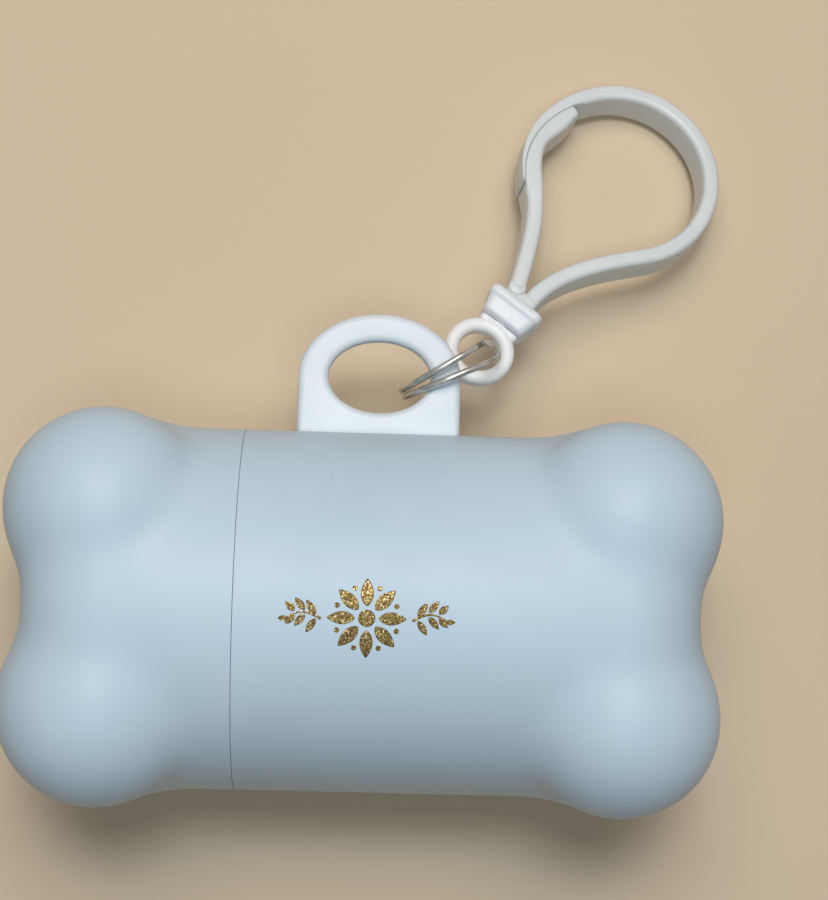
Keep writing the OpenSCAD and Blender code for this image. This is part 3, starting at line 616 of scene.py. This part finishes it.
def make_eye():
    turn = np.linspace(0, 2 * math.pi, 128, endpoint=False)
    section = rounded_section(EYE_HOLE_R, EYE_R, EYE_T / 2, EYE_EDGE_R, 9)
    rings = [np.array([(r * math.cos(a), r * math.sin(a), h) for r, h in section]) for a in turn]
    eye = loft("eye_skin", rings, True, 0, 50)
    w, h = SHOULDER_W / 2, SHOULDER_T / 2
    shoulder = block("shoulder", [(EYE_HOLE_R + 0.5, w - 0.55, h - 0.25), (EYE_HOLE_R + 0.9, w - 0.3, h - 0.1),
                                  (EYE_R - 0.55, w, h), (EYE_R - 0.15, w, h), (EYE_R - 0.04, w - 0.06, h - 0.06),
                                  (EYE_R, w - 0.2, h - 0.2)], 0.7)
    boolean(eye, shoulder, "UNION")
    stem = lathe_x("stem", [(EYE_R - 0.3, 0), (EYE_R - 0.3, STEM_R), (HEAD_START, STEM_R),
                            (HEAD_START, HEAD_R - 0.05), (HEAD_START + 0.05, HEAD_R), (HEAD_END - 0.1, HEAD_R),
                            (HEAD_END, HEAD_R - 0.1), (HEAD_END, 0)], 64, 0)
    boolean(eye, stem, "UNION")
    smooth(eye, 50)
    return at_hook(eye)


def make_collar():
    s, e = COLLAR_START, COLLAR_END
    neck = e - FLANGE_T - FLANGE_RISE
    stations = [(s, 2.75, 2.0), (s + 0.1, 2.95, 2.2), (s + 0.3, 3.06, 2.3), (neck - 0.5, 3.37, 2.5),
                (neck - 0.1, 3.45, 2.56), (neck + 0.12, 3.55, 2.7), (neck + 0.25, 3.66, 2.86),
                (e - FLANGE_T + 0.12, 3.76, 2.96), (e - FLANGE_T + 0.3, 3.8, 3.0), (e - 0.3, 3.8, 3.0),
                (e - 0.1, 3.74, 2.94), (e, 3.6, 2.8)]
    collar = block("collar_skin", stations, 0.95)
    bore = lathe_x("bore", [(e + 1, 0), (e + 1, BORE_R + 0.15), (e, BORE_R + 0.15), (e - 0.15, BORE_R),
                            (s + COLLAR_WALL, BORE_R), (s + COLLAR_WALL, STEM_R + 0.1), (s - 1, STEM_R + 0.1),
                            (s - 1, 0)], 64, 0)
    boolean(collar, bore, "DIFFERENCE")
    smooth(collar, 40)
    return at_hook(collar)


# ---------------------------------------------------------------- bag roll and its core
def make_core():
    a, b, edge = -ROLL_L / 2, ROLL_L / 2, 0.1
    return lathe_x("core_skin", [(a, CORE_IN_R + edge), (a, CORE_OUT_R - edge), (a + edge, CORE_OUT_R),
                                 (b - edge, CORE_OUT_R), (b, CORE_OUT_R - edge), (b, CORE_IN_R + edge),
                                 (b - edge, CORE_IN_R), (a + edge, CORE_IN_R)], 96)


def make_roll():
    """The wound film, whose turns show at both ends."""
    low, high, r_in, r_out, steps = -ROLL_L / 2 + 0.2, ROLL_L / 2 - 0.2, CORE_OUT_R + 0.05, ROLL_R, 26
    random.seed(7)
    ends = []
    for _ in range(2):
        ends.append([(r_in + (r_out - r_in) * k / steps, 0.0 if k % 2 else 0.12 + 0.1 * random.random())
                     for k in range(steps + 1)])
    profile = [(low + d, r) for r, d in ends[0][:-1]] + [(low + 0.6, r_out)]
    for k in range(1, 24):
        x = low + 0.6 + (high - low - 1.2) * k / 24
        profile.append((x, r_out - 0.05 * (k % 2)))
    profile += [(high - 0.6, r_out)] + [(high - d, r) for r, d in reversed(ends[1][:-1])]
    return lathe_x("roll_skin", profile, 160, AXIS_Z, 60)


# ---------------------------------------------------------------- gold foil ornament
FOIL_X, FOIL_Y, FOIL_T = 0.35, -0.5, 0.035
RIBBON_T = FOIL_T * 0.97
PETALS, PETAL_L, PETAL_W, PETAL_START_R, DOT_R, DOTS_AT_R = 8, 3.1, 1.45, 1.3, 0.3, 3.55
SPRIG_START, SPRIG_L, SPRIG_RISE, SPRIG_DROP, STEM_W, LEAF_W = 5.0, 4.0, 0.75, 0.2, 0.34, 0.8
LEAVES = ((0.12, 1.9, 56), (0.42, 1.75, 50), (0.7, 1.45, 44))  # place along the stem, length, spread in degrees


def petal(length, width, steps=18):
    """Outline of a pointed leaf from its foot at the origin, along X."""
    top = [(length * t, width / 2 * math.sin(math.pi * t ** 0.85) ** 0.8) for t in np.linspace(0, 1, steps)]
    return np.array(top + [(x, -y) for x, y in reversed(top[1:-1])])


def disc(r, steps=28):
    turn = np.linspace(0, 2 * math.pi, steps, endpoint=False)
    return np.column_stack([r * np.cos(turn), r * np.sin(turn)])


def placed(outline, x, y, heading):
    c, s = math.cos(math.radians(heading)), math.sin(math.radians(heading))
    return outline @ np.array([[c, s], [-s, c]]) + (x, y)


def foil_shape(outline, rings=7):
    """Foil pressed on the barrel: a plate that follows its curve, with a soft rim."""
    middle = outline.mean(axis=0)
    points, n = [], len(outline)
    scales = [(1.0, -0.03), (1.0, 0.3), (0.985, 0.8), (0.96, 1.0)]
    scales += [(share, 1.0) for share in np.linspace(0.85, 0.12, rings)]
    for scale, lift in scales:
        flat = middle + (outline - middle) * scale
        r = BARREL_R + FOIL_T * lift
        turn = flat[:, 1] / BARREL_R
        points.append(np.column_stack([flat[:, 0], r * np.sin(turn), r * np.cos(turn)]))
    centre_turn = middle[1] / BARREL_R
    top = (BARREL_R + FOIL_T) * np.array([0, math.sin(centre_turn), math.cos(centre_turn)]) + (middle[0], 0, 0)
    faces = grid_faces(len(points), n)
    last = (len(points) - 1) * n
    faces += [(last + i, last + (i + 1) % n, len(points) * n) for i in range(n)]
    faces.append(tuple(range(n)))
    return add_mesh("foil", np.concatenate(points + [top[None]]), faces, AXIS_Z, 60)


def ribbon(path, width):
    """Outline of a thin stem along a path, pointed at its far end."""
    path = np.array(path)
    way = np.gradient(path, axis=0)
    side = np.column_stack([-way[:, 1], way[:, 0]]) / np.linalg.norm(way, axis=1)[:, None]
    w = width / 2 * (1 - 0.6 * np.linspace(0, 1, len(path)))[:, None]
    return path + side * w, path - side * w


def foil_ribbon(path, width):
    left, right = ribbon(path, width)
    rows = []
    across = [(0, -0.03), (0, 0.8), (0.12, 1.0), (0.5, 1.0), (0.88, 1.0), (1, 0.8), (1, -0.03)]
    for k in range(len(left)):
        row = []
        for share, lift in across:
            x, y = left[k] + (right[k] - left[k]) * share
            r, turn = BARREL_R + RIBBON_T * lift, y / BARREL_R
            row.append((x, r * math.sin(turn), r * math.cos(turn)))
        rows.append(np.array(row))
    return loft("foil", rows, False, AXIS_Z, 60)


def on_stem(side, t):
    return side * (SPRIG_START + SPRIG_L * t), SPRIG_RISE * math.sin(math.pi * t) - SPRIG_DROP


def make_foil():
    """A rosette of petals and dots between two leaf sprigs."""
    shapes = [disc(0.95)]
    for k in range(PETALS):
        a = k * math.pi * 2 / PETALS
        shapes.append(placed(petal(PETAL_L, PETAL_W), PETAL_START_R * math.cos(a), PETAL_START_R * math.sin(a),
                             360 / PETALS * k))
        a = (k + 0.5) * math.pi * 2 / PETALS
        shapes.append(placed(disc(DOT_R, 20), DOTS_AT_R * math.cos(a), DOTS_AT_R * math.sin(a), 0))
    pieces = []
    for side in (1, -1):
        path = [on_stem(side, t) for t in np.linspace(0, 1, 20)]
        pieces.append(foil_ribbon([(x + FOIL_X, y + FOIL_Y) for x, y in path], STEM_W))
        for t, length, spread in LEAVES:
            x, y = on_stem(side, t)
            for up in (1, -1):
                heading = up * spread if side > 0 else 180 - up * spread
                shapes.append(placed(petal(length, LEAF_W), x + side * 0.12, y + up * 0.22, heading))
        shapes.append(placed(petal(1.0, 0.62), side * 8.75, -SPRIG_DROP, 0 if side > 0 else 180))
    pieces += [foil_shape(s + (FOIL_X, FOIL_Y)) for s in shapes]
    return join(pieces, "foil_ornament")


# ---------------------------------------------------------------- materials
def shader(name):
    mat = bpy.data.materials.new(name)
    mat.use_nodes = True
    tree = mat.node_tree
    return mat, tree, tree.nodes["Principled BSDF"]


def node(tree, kind, inputs=(), **settings):
    made = tree.nodes.new(kind)
    for key, value in settings.items():
        setattr(made, key, value)
    for key, value in dict(inputs).items():
        if hasattr(value, "is_output"):
            tree.links.new(value, made.inputs[key])
        else:
            made.inputs[key].default_value = value
    return made


def place(tree):
    return node(tree, "ShaderNodeTexCoord").outputs["Object"]


def noise(tree, scale, detail=3.0, rough=0.5, distortion=0.0):
    return node(tree, "ShaderNodeTexNoise", {"Vector": place(tree), "Scale": scale, "Detail": detail,
                                             "Roughness": rough, "Distortion": distortion}).outputs["Fac"]


def ramp(tree, fac, stops):
    made = node(tree, "ShaderNodeValToRGB", {"Fac": fac})
    band = made.color_ramp
    while len(band.elements) < len(stops):
        band.elements.new(0.5)
    for element, (spot, colour) in zip(band.elements, stops):
        element.position = spot
        element.color = (*colour, 1)
    return made.outputs["Color"]


def mix(tree, fac, a, b):
    made = node(tree, "ShaderNodeMix", data_type="RGBA")
    for key, value in ((0, fac), (6, a), (7, b)):
        if hasattr(value, "is_output"):
            tree.links.new(value, made.inputs[key])
        else:
            made.inputs[key].default_value = value if key == 0 else (*value, 1)
    return made.outputs[2]


def value_range(tree, fac, low, high, from_low=0.0, from_high=1.0):
    return node(tree, "ShaderNodeMapRange", {"Value": fac, "From Min": from_low, "From Max": from_high,
                                             "To Min": low, "To Max": high}).outputs["Result"]


def bump(tree, height, distance, strength=1.0, under=None):
    inputs = {"Height": height, "Distance": distance, "Strength": strength}
    if under is not None:
        inputs["Normal"] = under
    return node(tree, "ShaderNodeBump", inputs).outputs["Normal"]


def srgb(code):
    """Linear colour from the hex code of its display value."""
    parts = [int(code[i:i + 2], 16) / 255 for i in (0, 2, 4)]
    return tuple(c / 12.92 if c <= 0.04045 else ((c + 0.055) / 1.055) ** 2.4 for c in parts)


def link(tree, out, shader_node, key):
    tree.links.new(out, shader_node.inputs[key])


def specks(tree, scale, size):
    """Sparse small dots: 1 on a dot, 0 elsewhere."""
    cells = node(tree, "ShaderNodeTexVoronoi", {"Vector": place(tree), "Scale": scale, "Randomness": 1.0})
    dot = value_range(tree, cells.outputs["Distance"], 1.0, 0.0, size * 0.6, size)
    chance = node(tree, "ShaderNodeSeparateColor", {"Color": cells.outputs["Color"]}).outputs[0]
    rare = node(tree, "ShaderNodeMath", {0: chance, 1: 0.985}, operation="GREATER_THAN").outputs[0]
    return node(tree, "ShaderNodeMath", {0: dot, 1: rare}, operation="MULTIPLY").outputs[0]


def soft_touch():
    """Pale blue moulding with a rubbery matt coat, a faint cast of moulding flow and a few specks of dust."""
    mat, tree, top = shader("soft_touch_blue")
    flow = noise(tree, 45, 4, 0.55, 0.4)
    tone = ramp(tree, flow, [(0.3, srgb("BACFE1")), (0.7, srgb("C1D6E7"))])
    fine = noise(tree, 2600, 2)
    tone = mix(tree, value_range(tree, fine, 0.0, 0.05), tone, srgb("A9BFD2"))
    dust = specks(tree, 260, 0.035)
    tone = mix(tree, dust, tone, srgb("5A6470"))
    link(tree, tone, top, "Base Color")
    link(tree, value_range(tree, noise(tree, 90, 5, 0.6), 0.40, 0.47), top, "Roughness")
    top.inputs["Specular IOR Level"].default_value = 0.25
    grain = bump(tree, noise(tree, 5200, 2, 0.6), 0.000004, 0.6)
    wave = bump(tree, noise(tree, 60, 2), 0.00002, 0.35, grain)
    link(tree, wave, top, "Normal")
    return mat


def clean_white():
    mat, tree, top = shader("lug_white")
    tone = ramp(tree, noise(tree, 120, 4, 0.6), [(0.3, srgb("D3DCE5")), (0.7, srgb("DAE2EA"))])
    link(tree, tone, top, "Base Color")
    link(tree, value_range(tree, noise(tree, 400, 4), 0.36, 0.46), top, "Roughness")
    top.inputs["Specular IOR Level"].default_value = 0.45
    top.inputs["Subsurface Weight"].default_value = 0.2
    top.inputs["Subsurface Radius"].default_value = (0.0012, 0.0012, 0.0012)
    top.inputs["Subsurface Scale"].default_value = 1.0
    link(tree, bump(tree, noise(tree, 3500, 3, 0.6), 0.000004, 0.6), top, "Normal")
    return mat


def milky_plastic(name, low, high, rough=(0.34, 0.44)):
    """Undyed, slightly translucent moulded plastic."""
    mat, tree, top = shader(name)
    tone = ramp(tree, noise(tree, 110, 4, 0.6, 0.3), [(0.3, srgb(low)), (0.7, srgb(high))])
    link(tree, tone, top, "Base Color")
    link(tree, value_range(tree, noise(tree, 500, 4), *rough), top, "Roughness")
    top.inputs["Specular IOR Level"].default_value = 0.45
    top.inputs["Subsurface Weight"].default_value = 0.45
    top.inputs["Subsurface Radius"].default_value = (0.0016, 0.0014, 0.0012)
    top.inputs["Subsurface Scale"].default_value = 1.0
    ripple = bump(tree, noise(tree, 260, 3), 0.00002, 0.5)
    link(tree, bump(tree, noise(tree, 3000, 3, 0.6), 0.000005, 0.7, ripple), top, "Normal")
    return mat


def spring_steel():
    mat, tree, top = shader("ring_steel")
    stain = noise(tree, 320, 5, 0.6)
    link(tree, ramp(tree, stain, [(0.35, srgb("A3A49E")), (0.6, srgb("D0D2D0"))]), top, "Base Color")
    top.inputs["Metallic"].default_value = 1.0
    link(tree, value_range(tree, noise(tree, 900, 4), 0.2, 0.36), top, "Roughness")
    link(tree, bump(tree, noise(tree, 2200, 4, 0.6), 0.00001, 0.5), top, "Normal")
    return mat


def gold_foil():
    """Hot-stamped foil: brown gold with a dense sparkle, brighter where the foil caught."""
    mat, tree, top = shader("gold_foil")
    grain = node(tree, "ShaderNodeTexVoronoi", {"Vector": place(tree), "Scale": 7500.0})
    share = node(tree, "ShaderNodeSeparateColor", {"Color": grain.outputs["Color"]}).outputs[0]
    gold = ramp(tree, share, [(0.0, srgb("403214")), (0.45, srgb("614E26")), (0.8, srgb("766138")),
                              (1.0, srgb("A4936C"))])
    link(tree, gold, top, "Base Color")
    top.inputs["Metallic"].default_value = 0.75
    link(tree, value_range(tree, share, 0.55, 0.3), top, "Roughness")
    link(tree, bump(tree, share, 0.00004, 0.9), top, "Normal")
    return mat


def kraft_paper():
    mat, tree, top = shader("core_paper")
    spiral = node(tree, "ShaderNodeTexWave", {"Vector": place(tree), "Scale": 60.0, "Distortion": 1.0},
                  wave_type="BANDS", bands_direction="DIAGONAL").outputs["Fac"]
    tone = ramp(tree, noise(tree, 1200, 6, 0.7), [(0.3, srgb("9A7F5C")), (0.7, srgb("B59A76"))])
    tone = mix(tree, value_range(tree, spiral, 0.0, 0.2), tone, srgb("7C6347"))
    link(tree, tone, top, "Base Color")
    link(tree, value_range(tree, spiral, 0.8, 0.9), top, "Roughness")
    link(tree, bump(tree, noise(tree, 1800, 6, 0.7), 0.00003, 0.8), top, "Normal")
    return mat


def bag_film():
    mat, tree, top = shader("bag_film")
    creases_and_shade = noise(tree, 240, 6, 0.6, 1.2)
    # Painted shade: the film's colour is darker where the crease bump is low, in the hollows of its creases.
    link(tree, ramp(tree, creases_and_shade, [(0.3, srgb("1C1E22")), (0.7, srgb("2A2D33"))]), top, "Base Color")
    link(tree, value_range(tree, noise(tree, 150, 4), 0.28, 0.5), top, "Roughness")
    link(tree, bump(tree, creases_and_shade, 0.00025, 0.7), top, "Normal")
    return mat


def pale_floor():
    mat, tree, top = shader("floor")
    tone = ramp(tree, noise(tree, 8, 3), [(0.3, srgb("D6C2A8")), (0.7, srgb("DAC7AE"))])
    link(tree, tone, top, "Base Color")
    top.inputs["Roughness"].default_value = 0.85
    top.inputs["Specular IOR Level"].default_value = 0.2
    link(tree, bump(tree, noise(tree, 900, 4), 0.00003, 0.4), top, "Normal")
    return mat


# ---------------------------------------------------------------- assembly
def dress(obj, body, node_name, material):
    """Gives a piece its material and body, clamps it to its CAD node's box and hides that node. The gate's end is
    wider than its solid's, and stays so.
    """
    obj.data.materials.clear()
    obj.data.materials.append(material)
    if node_name:
        if node_name != "hook_gate":
            clamp_to_box(obj, node_name)
        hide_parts(node_name)
    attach(obj, body)
    return obj


blue = soft_touch()
barrel = dress(make_barrel(), "barrel", "barrel_shell", blue)
cap = dress(make_cap(), "cap", "cap_shell", blue)
for skin in (barrel, cap):
    smooth(skin, 32)
    bone_normals(skin)
dress(make_lug(), "barrel", "hanging_lug", clean_white())
dress(make_ring(), "ring", "split_ring", spring_steel())
dress(make_eye(), "eye", "swivel_eye", milky_plastic("eye_milky", "E8EAEC", "EFF1F3"))
dress(make_collar(), "hook", "hook_collar", milky_plastic("collar_white", "DCE1E8", "E4E9EF"))
hook_white = milky_plastic("hook_milky", "D3D9DC", "DCE1E4")
dress(make_hook_body(), "hook", "hook_body", hook_white)
dress(make_hook_gate(), "gate", "hook_gate", hook_white)
dress(make_core(), "core", "roll_core", kraft_paper())
dress(make_roll(), "bags", "bag_roll", bag_film())
dress(make_foil(), "barrel", None, gold_foil())

# ---------------------------------------------------------------- floor, light and camera
FLOOR_HALF, FLOOR_Z = 900, -0.06
FILL_STRENGTH, BACKDROP_STRENGTH = 0.06, 0.5
AIM = (0, 0.01, 0.02)
WARM, COOL = (1.0, 0.88, 0.78), (0.8, 0.94, 1.0)
LENS, SENSOR_W = 78.15, 36
CAMERA_X, CAMERA_Y, CAMERA_ABOVE_AXIS = -2.922, 2.679, 236.350
CAMERA_ROLL, CAMERA_YAW, CAMERA_PITCH = -0.0297, 0.0369, -0.0718

floor = add_mesh("floor", [(x * FLOOR_HALF, y * FLOOR_HALF, FLOOR_Z) for x, y in ((-1, -1), (1, -1), (1, 1), (-1, 1))],
                 [(0, 1, 2, 3)])
floor.data.materials.append(pale_floor())

world = bpy.data.worlds.new("studio")
bpy.context.scene.world = world
world.use_nodes = True
sky = world.node_tree
fill = sky.nodes["Background"]
fill.inputs["Color"].default_value = (1.0, 0.98, 0.95, 1)
fill.inputs["Strength"].default_value = FILL_STRENGTH
backdrop = node(sky, "ShaderNodeBackground", {"Color": (1.0, 0.95, 0.88, 1), "Strength": BACKDROP_STRENGTH})
rays = node(sky, "ShaderNodeLightPath").outputs
seen = rays["Is Camera Ray"]
for ray in ("Is Glossy Ray", "Is Transmission Ray"):
    seen = node(sky, "ShaderNodeMath", {0: seen, 1: rays[ray]}, operation="MAXIMUM").outputs[0]
shown = node(sky, "ShaderNodeMixShader", {0: seen, 1: fill.outputs[0], 2: backdrop.outputs[0]})
sky.links.new(shown.outputs[0], sky.nodes["World Output"].inputs["Surface"])


def area_light(name, spot, size, power, colour):
    data = bpy.data.lights.new(name, "AREA")
    data.shape = "RECTANGLE"
    data.size, data.size_y = size
    data.energy = power
    data.color = colour
    obj = bpy.data.objects.new(name, data)
    obj.location = Vector(spot)
    obj.rotation_euler = (Vector(AIM) - Vector(spot)).to_track_quat("-Z", "Y").to_euler()
    bpy.context.scene.collection.objects.link(obj)


area_light("soft_back", (0, 0.25, 0.55), (0.4, 0.25), 1.9, WARM)
area_light("soft_front", (0, -0.1, 0.6), (0.2, 0.12), 0.6, COOL)
area_light("soft_top", (0, 0.15, 0.6), (0.12, 0.12), 0.96, COOL)

camera_data = bpy.data.cameras.new("camera")
camera = bpy.data.objects.new("camera", camera_data)
bpy.context.scene.collection.objects.link(camera)
camera_data.sensor_width = SENSOR_W
camera_data.lens = LENS
camera_data.clip_start = 0.01
to_camera = (Matrix.Rotation(CAMERA_ROLL, 3, "Z") @ Matrix.Rotation(CAMERA_YAW, 3, "Y")
             @ Matrix.Rotation(CAMERA_PITCH, 3, "X"))
camera_at = Vector((CAMERA_X, CAMERA_Y, CAMERA_ABOVE_AXIS + AXIS_Z)) * MM
camera.matrix_world = Matrix.LocRotScale(camera_at, to_camera.transposed().to_quaternion(), None)
bpy.context.scene.camera = camera
bpy.context.scene.view_settings.view_transform = "Standard"
